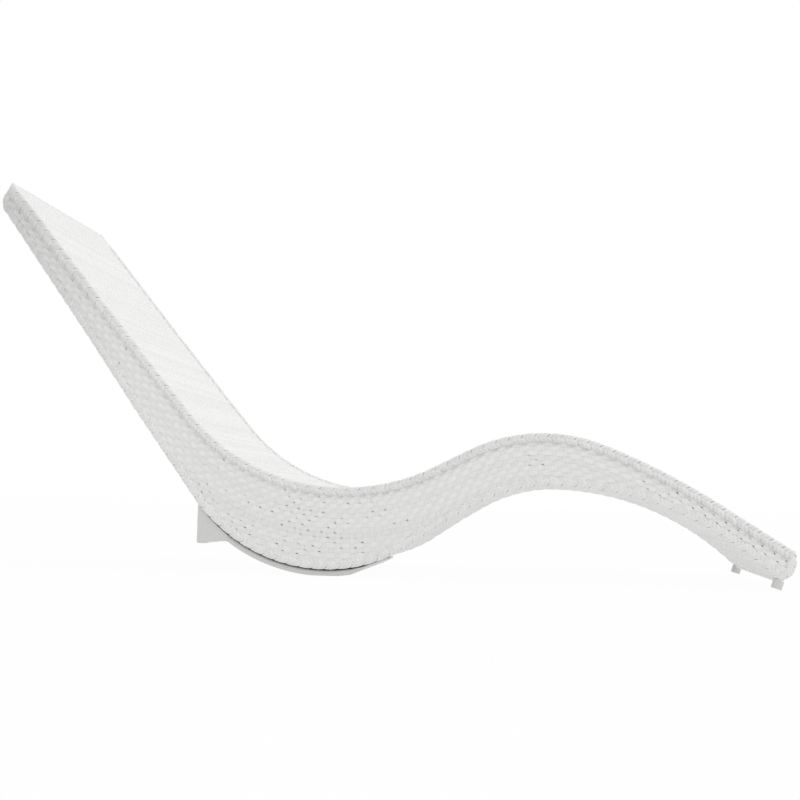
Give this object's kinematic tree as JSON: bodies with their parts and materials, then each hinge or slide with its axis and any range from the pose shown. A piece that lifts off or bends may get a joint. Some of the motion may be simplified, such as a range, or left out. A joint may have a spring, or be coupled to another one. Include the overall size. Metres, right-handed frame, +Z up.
{
  "type": "relaxation lounger",
  "caption": "Wave-shaped woven relaxation lounger with a raised backrest, a rocker base under the seat and stub feet at the leg end.",
  "frame": {"origin": "on the floor, under the middle of the lounger's length and width", "axes": "+X from the head end to the foot end, +Z up, the user's left side is +Y when lying on the back"},
  "size_m": [1.9008, 0.65, 0.9256],
  "materials": {
    "aluminium_tube": "satin",
    "fastener_steel": "brushed",
    "white_cane": "matte",
    "white_braid": "matte",
    "white_base": "satin",
    "white_glide": "satin"
  },
  "bodies": {
    "root": {"upper_rail_right": "aluminium_tube", "upper_rail_left": "aluminium_tube", "lower_rail_right": "aluminium_tube", "lower_rail_left": "aluminium_tube", "head_end_tubes": "aluminium_tube", "foot_end_tubes": "aluminium_tube", "seat_cross_tubes": "aluminium_tube", "belly_cross_tubes": "aluminium_tube", "side_uprights_right": "aluminium_tube", "side_uprights_left": "aluminium_tube", "base_bars": "aluminium_tube", "weld_nuts": "fastener_steel", "seat_weave": "white_cane", "underside_weave": "white_cane", "side_weave_right": "white_cane", "side_weave_left": "white_cane", "head_end_weave": "white_cane", "foot_end_weave": "white_cane", "upper_braid_right": "white_braid", "upper_braid_left": "white_braid", "lower_braid_right": "white_braid", "lower_braid_left": "white_braid", "base_shell": "white_base", "base_spacers": "fastener_steel", "base_washers": "fastener_steel", "base_bolts": "fastener_steel", "foot_stub_right": "aluminium_tube", "foot_stub_left": "aluminium_tube", "foot_glide_right": "white_glide", "foot_glide_left": "white_glide"}
  },
  "joints": []
}
